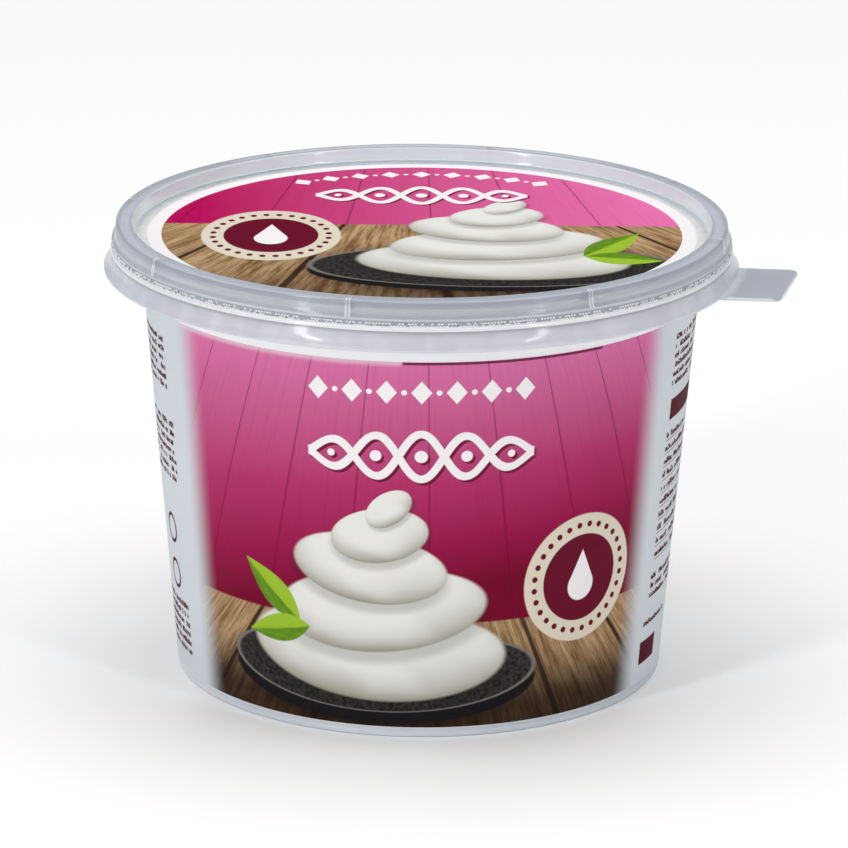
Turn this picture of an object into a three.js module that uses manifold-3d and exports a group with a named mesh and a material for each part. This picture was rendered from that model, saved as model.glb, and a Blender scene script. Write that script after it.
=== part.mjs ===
// A shut tub of fromage frais: a white moulded tub with a printed film moulded into its wall,
// a printed seal across its rim, and a clear one-piece lid that clips over the rim.
// Millimetres, +Z up. The origin is the middle of the base. The front of the print faces -Y,
// and the lid's pull tab points to +X, turned a little towards the front.
import * as THREE from "three";
import { mergeVertices } from "three/addons/utils/BufferGeometryUtils.js";
import Module from "manifold-3d";

const wasm = await Module();
wasm.setup();

// All turned pieces share these facets, so that faces which lie on each other match exactly.
const SEGMENTS = 72;

// Tub. The wall is a straight cone from the base to the rim.
const BASE_RADIUS = 45.63; // the wall's cone where it meets the standing plane
const WALL_SPREAD = 0.0828; // radius gained for each millimetre of height
const FOOT_ROUND = 0.8; // rounding from the wall to the standing ring
const FOOT_RING = 5; // width of the standing ring under the wall
const MIDDLE_RADIUS = 34; // flat middle of the base, level with the standing ring
const BASE_GROOVE = 0.8; // depth of the ring groove between the two
const FLANGE_RADIUS = 56.4;
const FLANGE_UNDERSIDE = 78.8;
const FLANGE_ROUND = 0.5;
const FLANGE_FILLET = 1; // rounding from the wall to the flange's underside
const RIM_HEIGHT = 82.2;

// Printed film, flush with the wall.
const FILM_FOOT = 2;
const FILM_HEAD = 73;
const FILM_THICKNESS = 0.15;

// Seal, lying on the rim and closing the tub.
const SEAL_RADIUS = 56;
const SEAL_THICKNESS = 0.25;

// Lid. Its clear panel lies on the seal, inside a raised hollow ring that overhangs the rim.
const LID_WALL = 0.6;
const PANEL_TOP = RIM_HEIGHT + SEAL_THICKNESS + LID_WALL;
const PANEL_FILLET = 0.5;
const RECESS_FOOT_RADIUS = 53.4; // ring's inner wall at the panel
const RECESS_MOUTH_RADIUS = 53.65; // ring's inner wall at the top
const RING_TOP = 85.56;
const RING_RADIUS = 56.75; // ring's outer wall at the top
const RING_ROUND = 0.5;

// Stations of the lid's skirt, as [radius, height], from the ring's outer wall downwards.
const RING_FOOT = [57.05, 82.9]; // end of the ring's outer wall
const STEP = [57.5, 82.3]; // top of the small step under the ring
const LEDGE = [57.58, 80.85]; // a low ledge runs round the skirt here
const LEDGE_EDGE = [57.74, 80.6];
const FLARE_START = [57.95, 78.75];
const FLARE = [58.3, 77.9]; // the skirt flares out round this corner
const WIDEST = [59, 77.15];
const SKIRT_FOOT = [59, 76.84];

// Stiffening ribs, standing in the lid's hollow ring.
const RIB_COUNT = 8;
const RIB_THICKNESS = 0.4;
const RIB_FOOT = RING_FOOT[1];
const RIB_HEAD = RING_TOP - 0.35;

// Pull tab. It starts level with the skirt's foot and rises a little towards its end.
const TAB_ANGLE = THREE.MathUtils.degToRad(-13.4); // from +X
const TAB_RISE = THREE.MathUtils.degToRad(2.1);
const TAB_WIDTH = 20.8;
const TAB_REACH = 69.4; // from the axis to the tab's end
const TAB_CORNER = 2.8;
const TAB_ROOT_RADIUS = 58.6;
const TAB_THICKNESS = 0.6;

const wallRadius = (height) => BASE_RADIUS + WALL_SPREAD * height;

// A closed body of revolution about +Z from a profile of [radius, height] points.
function turned(profile) {
  const points = profile.map(([radius, height]) => new THREE.Vector2(radius, height));
  return new THREE.LatheGeometry(points, SEGMENTS).rotateX(Math.PI / 2);
}

// Points of a round from one point to another, bending towards a corner point between them.
function round(from, corner, to, steps) {
  const curve = new THREE.QuadraticBezierCurve(
    new THREE.Vector2(...from), new THREE.Vector2(...corner), new THREE.Vector2(...to));
  return curve.getPoints(steps).map((point) => [point.x, point.y]);
}

// The same outline moved sideways by a distance, to the right of its direction of travel.
function offsetOutline(outline, distance) {
  const normals = outline.slice(1).map(([radius, height], i) => {
    const run = radius - outline[i][0];
    const rise = height - outline[i][1];
    const length = Math.hypot(run, rise);
    return [rise / length, -run / length];
  });
  return outline.map(([radius, height], i) => {
    const before = normals[Math.max(i - 1, 0)];
    const after = normals[Math.min(i, normals.length - 1)];
    const cosine = before[0] * after[0] + before[1] * after[1];
    const scale = distance / (1 + cosine);
    return [radius + (before[0] + after[0]) * scale, height + (before[1] + after[1]) * scale];
  });
}

// Corners closer than this are one corner, when a geometry becomes a solid.
const MERGE_DISTANCE = 1e-4;

// A geometry as a solid for joining: shared corners merged, and faces without area dropped.
function asSolid(geometry) {
  const bare = geometry.clone();
  for (const name of Object.keys(bare.attributes)) {
    if (name !== "position") bare.deleteAttribute(name);
  }
  const merged = mergeVertices(bare, MERGE_DISTANCE);
  const corners = merged.index.array;
  const faces = [];
  for (let i = 0; i < corners.length; i += 3) {
    const [a, b, c] = corners.slice(i, i + 3);
    if (a !== b && b !== c && c !== a) faces.push(a, b, c);
  }
  return new wasm.Manifold(new wasm.Mesh({
    numProp: 3,
    vertProperties: Float32Array.from(merged.attributes.position.array),
    triVerts: Uint32Array.from(faces),
  }));
}

function asGeometry(solid) {
  const mesh = solid.getMesh();
  const geometry = new THREE.BufferGeometry();
  geometry.setAttribute("position", new THREE.BufferAttribute(mesh.vertProperties, 3));
  geometry.setIndex(new THREE.BufferAttribute(mesh.triVerts, 1));
  geometry.computeVertexNormals();
  return geometry;
}

function addPiece(parent, name, geometry, look) {
  const piece = new THREE.Mesh(geometry, new THREE.MeshStandardMaterial(look));
  piece.name = name;
  parent.add(piece);
}

// The tub is shut, so it is solid up to its rim: standing ring and base, wall, then the flange.
// The wall is set back by the film's thickness where the film lies in it.
function tubGeometry() {
  const ringOuter = wallRadius(0) - FOOT_ROUND;
  const ringInner = ringOuter - FOOT_RING;
  const groove = BASE_GROOVE;
  return turned([
    [0, 0],
    [MIDDLE_RADIUS, 0],
    [MIDDLE_RADIUS + groove, groove],
    [ringInner - groove, groove],
    [ringInner, 0],
    ...round([ringOuter, 0], [wallRadius(0), 0], [wallRadius(FOOT_ROUND), FOOT_ROUND], 3),
    [wallRadius(FILM_FOOT), FILM_FOOT],
    [wallRadius(FILM_FOOT) - FILM_THICKNESS, FILM_FOOT],
    [wallRadius(FILM_HEAD) - FILM_THICKNESS, FILM_HEAD],
    [wallRadius(FILM_HEAD), FILM_HEAD],
    ...round(
      [wallRadius(FLANGE_UNDERSIDE - FLANGE_FILLET), FLANGE_UNDERSIDE - FLANGE_FILLET],
      [wallRadius(FLANGE_UNDERSIDE), FLANGE_UNDERSIDE],
      [wallRadius(FLANGE_UNDERSIDE) + FLANGE_FILLET, FLANGE_UNDERSIDE], 2),
    ...round(
      [FLANGE_RADIUS - FLANGE_ROUND, FLANGE_UNDERSIDE],
      [FLANGE_RADIUS, FLANGE_UNDERSIDE],
      [FLANGE_RADIUS, FLANGE_UNDERSIDE + FLANGE_ROUND], 2),
    [FLANGE_RADIUS, RIM_HEIGHT - FLANGE_ROUND],
    [SEAL_RADIUS, RIM_HEIGHT],
    [0, RIM_HEIGHT],
  ]);
}

function filmGeometry() {
  const foot = wallRadius(FILM_FOOT);
  const head = wallRadius(FILM_HEAD);
  return turned([
    [foot, FILM_FOOT],
    [head, FILM_HEAD],
    [head - FILM_THICKNESS, FILM_HEAD],
    [foot - FILM_THICKNESS, FILM_FOOT],
    [foot, FILM_FOOT],
  ]);
}

function sealGeometry() {
  return turned([
    [0, RIM_HEIGHT],
    [SEAL_RADIUS, RIM_HEIGHT],
    [SEAL_RADIUS, RIM_HEIGHT + SEAL_THICKNESS],
    [0, RIM_HEIGHT + SEAL_THICKNESS],
  ]);
}

// The lid's skin, seen from above: panel, ring, step, ledge and flared skirt. The section is this
// outline, then the same outline one wall thickness further in, back to the axis.
function lidShellGeometry() {
  const foot = RECESS_FOOT_RADIUS;
  const mouth = RECESS_MOUTH_RADIUS;
  const below = RING_TOP - RING_ROUND;
  const skin = [
    [0, PANEL_TOP],
    ...round([foot - PANEL_FILLET, PANEL_TOP], [foot, PANEL_TOP], [foot, PANEL_TOP + PANEL_FILLET], 2),
    ...round([mouth, below], [mouth, RING_TOP], [mouth + RING_ROUND, RING_TOP], 2),
    ...round([RING_RADIUS - RING_ROUND, RING_TOP], [RING_RADIUS, RING_TOP], [RING_RADIUS, below], 2),
    RING_FOOT,
    STEP,
    LEDGE,
    LEDGE_EDGE,
    ...round(FLARE_START, FLARE, WIDEST, 4),
    SKIRT_FOOT,
  ];
  const inside = offsetOutline(skin, LID_WALL).reverse();
  return turned([...skin, ...inside].reverse());
}

// One rib: a thin upright plate across the hollow ring, let halfway into both walls and the top.
function ribGeometry(angle) {
  const letIn = LID_WALL / 2;
  const plate = new THREE.Shape([
    new THREE.Vector2(RECESS_FOOT_RADIUS + letIn, RIB_FOOT),
    new THREE.Vector2(RING_FOOT[0] - letIn, RIB_FOOT),
    new THREE.Vector2(RING_RADIUS - letIn, RIB_HEAD),
    new THREE.Vector2(RECESS_MOUTH_RADIUS + letIn, RIB_HEAD),
  ]);
  return new THREE.ExtrudeGeometry(plate, { depth: RIB_THICKNESS, bevelEnabled: false })
    .translate(0, 0, -RIB_THICKNESS / 2)
    .rotateX(Math.PI / 2)
    .rotateZ(angle);
}

// The tab: a flat tongue from the skirt's foot outwards, with round corners.
function tabGeometry() {
  const half = TAB_WIDTH / 2;
  const rootAngle = Math.asin(half / TAB_ROOT_RADIUS);
  const root = TAB_ROOT_RADIUS * Math.cos(rootAngle);
  const tongue = new THREE.Shape();
  tongue.moveTo(root, -half);
  tongue.lineTo(TAB_REACH - TAB_CORNER, -half);
  tongue.quadraticCurveTo(TAB_REACH, -half, TAB_REACH, TAB_CORNER - half);
  tongue.lineTo(TAB_REACH, half - TAB_CORNER);
  tongue.quadraticCurveTo(TAB_REACH, half, TAB_REACH - TAB_CORNER, half);
  tongue.lineTo(root, half);
  tongue.absarc(0, 0, TAB_ROOT_RADIUS, rootAngle, -rootAngle, true);
  const plan = { depth: TAB_THICKNESS, bevelEnabled: false, curveSegments: 8 };
  return new THREE.ExtrudeGeometry(tongue, plan)
    .translate(-TAB_ROOT_RADIUS, 0, 0)
    .rotateY(-TAB_RISE)
    .translate(TAB_ROOT_RADIUS, 0, SKIRT_FOOT[1])
    .rotateZ(TAB_ANGLE);
}

function lidGeometry() {
  let solid = asSolid(lidShellGeometry()).add(asSolid(tabGeometry()));
  for (let i = 0; i < RIB_COUNT; i++) {
    const angle = TAB_ANGLE + i * 2 * Math.PI / RIB_COUNT;
    solid = solid.add(asSolid(ribGeometry(angle)));
  }
  return asGeometry(solid);
}

const group = new THREE.Group();
addPiece(group, "tub", tubGeometry(), { color: 0xeef0f2, roughness: 0.35, metalness: 0 });
addPiece(group, "label", filmGeometry(), { color: 0xc0447f, roughness: 0.4, metalness: 0 });
addPiece(group, "seal", sealGeometry(), { color: 0xc8588c, roughness: 0.4, metalness: 0 });
addPiece(group, "lid", lidGeometry(), {
  color: 0xd4d9e0, roughness: 0.25, metalness: 0, transparent: true, opacity: 0.45,
});

export default group;
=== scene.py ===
"""A shut tub of fromage frais: white tub, printed film, printed seal and clear push-on lid."""
import bmesh
import bpy
import math
from mathutils import Matrix, Vector


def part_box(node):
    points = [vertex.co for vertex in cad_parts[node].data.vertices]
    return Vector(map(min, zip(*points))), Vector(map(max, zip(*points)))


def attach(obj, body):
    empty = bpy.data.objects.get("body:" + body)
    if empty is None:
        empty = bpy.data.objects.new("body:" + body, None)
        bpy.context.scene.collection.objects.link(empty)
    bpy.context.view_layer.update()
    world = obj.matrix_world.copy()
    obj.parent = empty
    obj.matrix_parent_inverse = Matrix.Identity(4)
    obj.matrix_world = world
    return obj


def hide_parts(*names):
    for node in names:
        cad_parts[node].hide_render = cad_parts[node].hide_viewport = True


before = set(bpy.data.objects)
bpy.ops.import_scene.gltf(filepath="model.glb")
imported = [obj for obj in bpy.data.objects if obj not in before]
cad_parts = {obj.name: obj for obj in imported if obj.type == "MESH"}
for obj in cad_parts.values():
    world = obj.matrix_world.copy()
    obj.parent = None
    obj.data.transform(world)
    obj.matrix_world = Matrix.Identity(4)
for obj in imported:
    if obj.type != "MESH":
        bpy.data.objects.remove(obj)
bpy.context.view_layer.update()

# The camera. It looks down on the tub from the front, from about a metre away, with the long
# lens of a pack shot, so that the lid's far rim and the tub's foot both show.
MM = 0.001
PHOTO_SIDE = 848  # pixels
FOCAL_LENGTH = 5163.5  # pixels
SENSOR = 36.0
CAMERA_PLACE = Vector((-3.95, -926.31, 333.24)) * MM
CAMERA_PITCH = 0.3011
CAMERA_YAW = 0.005
CAMERA_ROLL = 0.0083

camera = bpy.data.objects.new("camera", bpy.data.cameras.new("camera"))
bpy.context.scene.collection.objects.link(camera)
camera.data.sensor_width = SENSOR
camera.data.lens = SENSOR * FOCAL_LENGTH / PHOTO_SIDE
camera.data.clip_start = 0.05
camera.data.clip_end = 20
camera.matrix_world = (
    Matrix.Translation(CAMERA_PLACE)
    @ Matrix.Rotation(-CAMERA_YAW, 4, "Z")
    @ Matrix.Rotation(math.pi / 2 - CAMERA_PITCH, 4, "X")
    @ Matrix.Rotation(CAMERA_ROLL, 4, "Z")
)
bpy.context.scene.camera = camera

# The tub. It is moulded in one shot from white polypropylene: a straight cone with a standing
# ring and a flat middle under the base, a bead at the foot, and a flange that carries the seal.
tub_low, tub_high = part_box("tub")
film_low, film_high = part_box("label")
RIM_HEIGHT = tub_high.z
FLANGE_RADIUS = tub_high.x
FLANGE_UNDERSIDE = RIM_HEIGHT - 3.4 * MM
FLANGE_ROUND = 0.5 * MM
FILM_FOOT = film_low.z
FILM_HEAD = film_high.z
BASE_RADIUS = 45.63 * MM
WALL_SPREAD = (film_high.x - BASE_RADIUS) / FILM_HEAD
FOOT_ROUND = 0.5 * MM
FOOT_BEAD = 0.85 * MM
FOOT_GROOVE = 0.22 * MM
FOOT_RING = 5 * MM
MIDDLE_RADIUS = 34 * MM
BASE_GROOVE = 0.8 * MM
GATE_RADIUS = 3.2 * MM
GATE_DEPTH = 0.35 * MM
FILM_STEP = 0.03 * MM
ROUND_STEPS = 6
TURNS = 288


def wall_radius(height):
    return BASE_RADIUS + WALL_SPREAD * height


def bend(start, corner, end, steps=ROUND_STEPS):
    """Points of a quadratic round from start to end, pulled towards corner."""
    points = []
    for i in range(steps + 1):
        t = i / steps
        a, b, c = (1 - t) ** 2, 2 * t * (1 - t), t ** 2
        points.append((a * start[0] + b * corner[0] + c * end[0],
                       a * start[1] + b * corner[1] + c * end[1]))
    return points


def turned_mesh(name, profile, turns=TURNS):
    """A closed mesh turned about Z from (radius, height) points, axis to axis or back to the start."""
    mesh = bmesh.new()
    rings = []
    for radius, height in profile:
        if radius < 1e-7:
            rings.append([mesh.verts.new((0, 0, height))])
            continue
        angles = [2 * math.pi * k / turns for k in range(turns)]
        rings.append([mesh.verts.new((radius * math.cos(a), radius * math.sin(a), height))
                      for a in angles])
    on_axis = len(rings[0]) == 1
    pairs = list(zip(rings, rings[1:]))
    if not on_axis:
        pairs.append((rings[-1], rings[0]))
    for lower, upper in pairs:
        for k in range(turns):
            n = (k + 1) % turns
            corners = [lower[k % len(lower)], lower[n % len(lower)],
                       upper[n % len(upper)], upper[k % len(upper)]]
            mesh.faces.new(list(dict.fromkeys(corners)))
    bmesh.ops.recalc_face_normals(mesh, faces=mesh.faces)
    data = bpy.data.meshes.new(name)
    mesh.to_mesh(data)
    mesh.free()
    return data


def finished(name, data, material, sharp_degrees=32):
    """An object at the origin from a mesh, smooth but for its sharp edges, with its material."""
    piece = bpy.data.objects.new(name, data)
    bpy.context.scene.collection.objects.link(piece)
    data.shade_smooth()
    data.set_sharp_from_angle(angle=math.radians(sharp_degrees))
    data.materials.clear()
    data.materials.append(material)
    return piece


class Signal:
    """A shader node's output. Sums and products of signals and numbers add their Math nodes."""

    def __init__(self, paint, socket):
        self.paint = paint
        self.socket = socket

    def __add__(self, other):
        return self.paint.math("ADD", self, other)

    def __radd__(self, other):
        return self.paint.math("ADD", other, self)

    def __sub__(self, other):
        return self.paint.math("SUBTRACT", self, other)

    def __rsub__(self, other):
        return self.paint.math("SUBTRACT", other, self)

    def __mul__(self, other):
        return self.paint.math("MULTIPLY", self, other)

    def __rmul__(self, other):
        return self.paint.math("MULTIPLY", other, self)

    def __truediv__(self, other):
        return self.paint.math("DIVIDE", self, other)

    def __rtruediv__(self, other):
        return self.paint.math("DIVIDE", other, self)

    def __abs__(self):
        return self.paint.math("ABSOLUTE", self)


class Paint:
    """A material being made. Its node method adds any node; the others are short forms of it."""

    def __init__(self, name):
        self.material = bpy.data.materials.new(name)
        self.material.use_nodes = True
        self.tree = self.material.node_tree
        self.tree.nodes.clear()
        self.place = self.node("ShaderNodeTexCoord", output="Object")
        self.x, self.y, self.z = [
            self.node("ShaderNodeSeparateXYZ", None, {0: self.place}, axis) for axis in range(3)]

    def node(self, kind, settings=None, inputs=None, output=0):
        """Adds a node: its settings first, then its sockets' values or links. Output None has no
        signal to give back."""
        node = self.tree.nodes.new(kind)
        for key, value in (settings or {}).items():
            setattr(node, key, value)
        for key, value in (inputs or {}).items():
            if isinstance(value, Signal):
                self.tree.links.new(value.socket, node.inputs[key])
            else:
                node.inputs[key].default_value = value
        return None if output is None else Signal(self, node.outputs[output])

    def math(self, operation, *values):
        return self.node("ShaderNodeMath", {"operation": operation}, dict(enumerate(values)))

    def step(self, start, end, value):
        """0 at start to 1 at end, with a soft rise between."""
        return self.node("ShaderNodeMapRange", {"interpolation_type": "SMOOTHSTEP"},
                         {"Value": value, "From Min": start, "From Max": end})

    def blend(self, share, below, above):
        """One colour over another."""
        return self.node("ShaderNodeMix", {"data_type": "RGBA"}, {0: share, 6: below, 7: above}, 2)

    def point(self, x, y, z=0.0):
        return self.node("ShaderNodeCombineXYZ", None, {0: x, 1: y, 2: z})

    def noise(self, where, scale, detail=2.0, roughness=0.5):
        return self.node("ShaderNodeTexNoise", None, {
            "Vector": where, "Scale": scale, "Detail": detail, "Roughness": roughness})

    def bump(self, height, distance, strength=1.0):
        return self.node("ShaderNodeBump", None, {
            "Height": height, "Distance": distance, "Strength": strength})

    def surface(self, **inputs):
        """The plastic's shader, with sockets given by their names, as base_color for Base Color."""
        named = {key.replace("_", " ").title().replace("Ior", "IOR"): value
                 for key, value in inputs.items()}
        return self.node("ShaderNodeBsdfPrincipled", None, named)

    def done(self, shader):
        self.node("ShaderNodeOutputMaterial", None, {"Surface": shader}, None)
        return self.material


def screen(red, green, blue):
    """A colour as a screen shows it, 0 to 255, as the linear colour that a shader takes."""
    linear = [c / 12.92 if c <= 0.04045 else ((c + 0.055) / 1.055) ** 2.4
              for c in (red / 255, green / 255, blue / 255)]
    return (*linear, 1.0)


WHITE_PLASTIC = screen(222, 227, 233)
WHITE_PLASTIC_COOL = screen(206, 214, 223)
WHITE_PLASTIC_BARE = screen(246, 248, 250)  # paler from just below the film's top edge upwards


def tub_plastic():
    paint = Paint("tub_plastic")
    flow = paint.noise(paint.place, 30.0, 3.0)
    colour = paint.blend(paint.step(0.3, 0.7, flow), WHITE_PLASTIC, WHITE_PLASTIC_COOL)
    bare = paint.step(FILM_HEAD - 2 * MM, FILM_HEAD, paint.z)
    colour = paint.blend(bare, colour, WHITE_PLASTIC_BARE)
    return paint.done(paint.surface(
        base_color=colour,
        roughness=0.3 + 0.08 * flow,
        specular_ior_level=0.25))


def tub_profile():
    ring_outer = wall_radius(0) - FOOT_ROUND
    ring_inner = ring_outer - FOOT_RING
    bead_top = FOOT_BEAD + 0.9 * MM
    return [
        (0, GATE_DEPTH),
        *bend((GATE_RADIUS - 0.6 * MM, GATE_DEPTH), (GATE_RADIUS - 0.2 * MM, GATE_DEPTH),
              (GATE_RADIUS, 0)),
        *bend((MIDDLE_RADIUS - 0.3 * MM, 0), (MIDDLE_RADIUS, 0),
              (MIDDLE_RADIUS + 0.2 * MM, 0.2 * MM)),
        *bend((MIDDLE_RADIUS + BASE_GROOVE - 0.2 * MM, BASE_GROOVE - 0.2 * MM),
              (MIDDLE_RADIUS + BASE_GROOVE, BASE_GROOVE),
              (MIDDLE_RADIUS + BASE_GROOVE + 0.3 * MM, BASE_GROOVE)),
        *bend((ring_inner - BASE_GROOVE - 0.3 * MM, BASE_GROOVE),
              (ring_inner - BASE_GROOVE, BASE_GROOVE),
              (ring_inner - BASE_GROOVE + 0.2 * MM, BASE_GROOVE - 0.2 * MM)),
        *bend((ring_inner - 0.2 * MM, 0.2 * MM), (ring_inner, 0), (ring_inner + 0.3 * MM, 0)),
        *bend((ring_outer, 0), (wall_radius(0), 0), (wall_radius(FOOT_ROUND), FOOT_ROUND)),
        *bend((wall_radius(FOOT_BEAD), FOOT_BEAD),
              (wall_radius(FOOT_BEAD) - 2 * FOOT_GROOVE, (FOOT_BEAD + bead_top) / 2),
              (wall_radius(bead_top), bead_top)),
        (wall_radius(FILM_FOOT) - FILM_STEP, FILM_FOOT),
        (wall_radius(FILM_HEAD) - FILM_STEP, FILM_HEAD),
        (wall_radius(FILM_HEAD + 0.2 * MM), FILM_HEAD + 0.2 * MM),
        *bend((wall_radius(FLANGE_UNDERSIDE - MM), FLANGE_UNDERSIDE - MM),
              (wall_radius(FLANGE_UNDERSIDE), FLANGE_UNDERSIDE),
              (wall_radius(FLANGE_UNDERSIDE) + MM, FLANGE_UNDERSIDE)),
        *bend((FLANGE_RADIUS - FLANGE_ROUND, FLANGE_UNDERSIDE),
              (FLANGE_RADIUS, FLANGE_UNDERSIDE),
              (FLANGE_RADIUS, FLANGE_UNDERSIDE + FLANGE_ROUND)),
        *bend((FLANGE_RADIUS, RIM_HEIGHT - FLANGE_ROUND), (FLANGE_RADIUS, RIM_HEIGHT),
              (FLANGE_RADIUS - FLANGE_ROUND, RIM_HEIGHT)),
        (0, RIM_HEIGHT),
    ]


tub = finished("tub_body", turned_mesh("tub_body", tub_profile()), tub_plastic())
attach(tub, "root")
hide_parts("tub")

# The printed film. It is laid in the mould and fuses with the wall: a magenta picture panel at
# the front and another at the back, with white panels of small print between them.
PANEL_FULL = 51.0  # degrees from its middle, where the picture starts to fade
PANEL_END = 60.5
PRINT_RADIUS = 48.8  # millimetres, where the print's own scale holds
TRIM_START = -3.2  # millimetres from the panel's middle, where a dark trim line starts
TRIM_END = 33.0
BOARD_WIDTH = 10.3
BOARD_LEVEL = 71.0  # the height at which the painted boards have that width
BOARD_FAN = 0.0115  # how much narrower they get for each millimetre below it
PLANK_WIDTH = 17.0
PLANK_DISTANCE = 44.0  # from the table's far edge up to the point where its planks would meet
LOZENGE_PITCH = 6.0
LOZENGE_HEIGHT = 4.4
FILM_ROW_HALF = 20.3  # half the length of the row of lozenges
FILM_ROW_LEVEL = 67.2
BADGE_BEADS = 28
BEAD_RING = 0.83  # share of the badge's radius
FILM_PICTURE = {
    "horizon": 22.5,
    "depth": 21.0,
    "slab": {"centre": (-8.0, 13.0), "half": (31.0, 8.2)},
    "swirl": {"foot": (-8.5, 8.0), "width": 50.0},
    "leaves": ({"centre": (-29.0, 26.5), "half": (7.8, 2.8), "turn": 138.0},
               {"centre": (-28.0, 19.0), "half": (7.0, 2.7), "turn": 192.0}),
    "badge": {"centre": (32.0, 28.5), "radius": 12.4},
    "plait_height": 55.0,
}
SWIRL_TIERS = (  # shift, rise, half width and half height as shares of the width, and turn
    (0.0, 0.17, 0.5, 0.19, -2.0),
    (0.02, 0.34, 0.4, 0.165, 5.0),
    (-0.02, 0.5, 0.29, 0.135, -6.0),
    (0.02, 0.63, 0.18, 0.105, 9.0),
    (0.055, 0.735, 0.095, 0.06, 38.0))
TEXT_BLOCKS = (  # low, high, left and right edge
    (59.4, 70.2, 55.5, 96.0), (18.0, 23.4, 55.0, 88.0), (12.6, 14.4, 53.0, 66.0),
    (57.6, 68.4, -97.0, -57.5), (39.6, 52.2, -97.0, -56.0), (5.4, 16.2, -90.0, -56.5))
TITLE_BARS = ((53.0, 57.0, 56.0, 97.0), (5.4, 9.9, 53.0, 61.0))
TABLE_BOX = (25.2, 51.0, 55.5, 97.0)
TABLE_ROW = 2.58
TABLE_GAP = 82.0  # the middle of the gap between its two columns
TABLE_TEXT_END = 93.0
LINE_PITCH = 1.8
RINGS_MIDDLE = (-62.5, 25.0)
RINGS_OFFSET = 4.5  # of each ring, up or down from their middle
RINGS_RADIUS = 2.6
MAGENTA_TOP = screen(219, 116, 168)
MAGENTA = screen(182, 54, 108)
MAGENTA_LOW = screen(156, 22, 77)
MAGENTA_DEEP = screen(122, 4, 44)
SEAM = screen(104, 6, 46)
MAROON = screen(108, 14, 44)
MAROON_DARK = screen(84, 6, 32)
CREAM_PAPER = screen(228, 219, 200)
CREAM = screen(238, 238, 233)
CREAM_SHADE = screen(150, 146, 128)
PLANK_LIGHT = screen(204, 172, 130)
PLANK_DARK = screen(128, 90, 56)
PLANK_GAP = screen(36, 20, 12)
SLATE = screen(62, 58, 56)
SLATE_DARK = screen(26, 24, 28)
SLATE_EDGE = screen(128, 122, 116)
LEAF = screen(158, 196, 52)
LEAF_DARK = screen(84, 132, 30)
INK_WHITE = screen(250, 246, 248)
FILM_WHITE = screen(219, 225, 230)
FILM_WHITE_COOL = screen(210, 217, 223)
FILM_TONES = ((29.0, MAGENTA_DEEP), (38.0, MAGENTA_LOW), (50.0, MAGENTA), (72.0, MAGENTA_TOP))
TONES_LEVEL = 75.0  # the height where the tones run level
TONES_SLANT = 0.003  # how steeply they rise to the right, for each millimetre below it


def placed(x, y, centre, turn=0.0):
    """Coordinates along and across a motif that is centred and turned, in degrees."""
    c, s = math.cos(math.radians(turn)), math.sin(math.radians(turn))
    dx, dy = x - centre[0], y - centre[1]
    return dx * c + dy * s, dy * c - dx * s


def hypotenuse(paint, a, b):
    return paint.math("SQRT", a * a + b * b)


def graded(paint, value, stops):
    """A colour that runs evenly through stops, each a value and its colour."""
    colour = stops[0][1]
    for (low, _), (high, above) in zip(stops, stops[1:]):
        share = paint.node("ShaderNodeMapRange", None,
                           {"Value": value, "From Min": low, "From Max": high})
        colour = paint.blend(share, colour, above)
    return colour


def lay_boards(paint, ground, x, y):
    """Thin seams between painted boards that fan out downwards, with faint streaks of grain."""
    fan = x / (1.0 + BOARD_FAN * (BOARD_LEVEL - y))
    cell = paint.math("FLOORED_MODULO", fan + 4.0, BOARD_WIDTH)
    seam = paint.step(0.2, 0.04, abs(cell - BOARD_WIDTH / 2))
    streak = paint.noise(paint.point(fan * 1.1, y * 0.03), 1.0, 2.0, 0.65)
    colour = paint.blend(0.12 * paint.step(0.45, 0.8, streak), ground, MAGENTA_DEEP)
    return paint.blend(0.5 * seam, colour, SEAM)


def planks(paint, x, y, horizon, depth):
    """A plank table seen along its boards: grain and gaps run towards a far point."""
    far = horizon + PLANK_DISTANCE
    ray = x / (far - y) * PLANK_DISTANCE
    grain = paint.noise(paint.point(ray * 1.1, y * 0.09), 1.0, 4.0, 0.65)
    fine = paint.noise(paint.point(ray * 5.0, y * 0.5, 3.0), 1.0, 2.0)
    cell = paint.math("FLOORED_MODULO", ray + 6.0, PLANK_WIDTH)
    gap = paint.step(0.7, 0.25, abs(cell - PLANK_WIDTH / 2))
    near = paint.step(horizon - 0.24 * depth, horizon - 0.85 * depth, y)
    colour = paint.blend(paint.step(0.35, 0.68, grain), PLANK_LIGHT, PLANK_DARK)
    colour = paint.blend(0.4 * paint.step(0.4, 0.7, fine), colour, PLANK_DARK)
    colour = paint.blend(0.92 * near, colour, PLANK_GAP)
    return paint.blend(0.9 * gap, colour, PLANK_GAP)


def lay_slab(paint, ground, x, y, centre, half):
    """A dark stone slab in perspective, with its shadow, its edge and a pale rim line."""
    along, across = placed(x, y, centre)
    shade = hypotenuse(paint, along / (half[0] * 1.22), (across + 1.6) / (half[1] * 1.7))
    colour = paint.blend(0.85 * paint.step(1.0, 0.55, shade), ground, PLANK_GAP)
    edge = hypotenuse(paint, along / half[0], (across + 2.2) / half[1])
    top = hypotenuse(paint, along / half[0], across / half[1])
    speckle = paint.noise(paint.point(x, y), 1.2, 3.0, 0.7)
    colour = paint.blend(paint.step(1.01, 0.985, edge), colour, SLATE_DARK)
    stone = paint.blend(paint.step(0.4, 0.65, speckle), SLATE, SLATE_DARK)
    colour = paint.blend(paint.step(1.01, 0.985, top), colour, SLATE_EDGE)
    return paint.blend(paint.step(0.985, 0.955, top), colour, stone)


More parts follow.
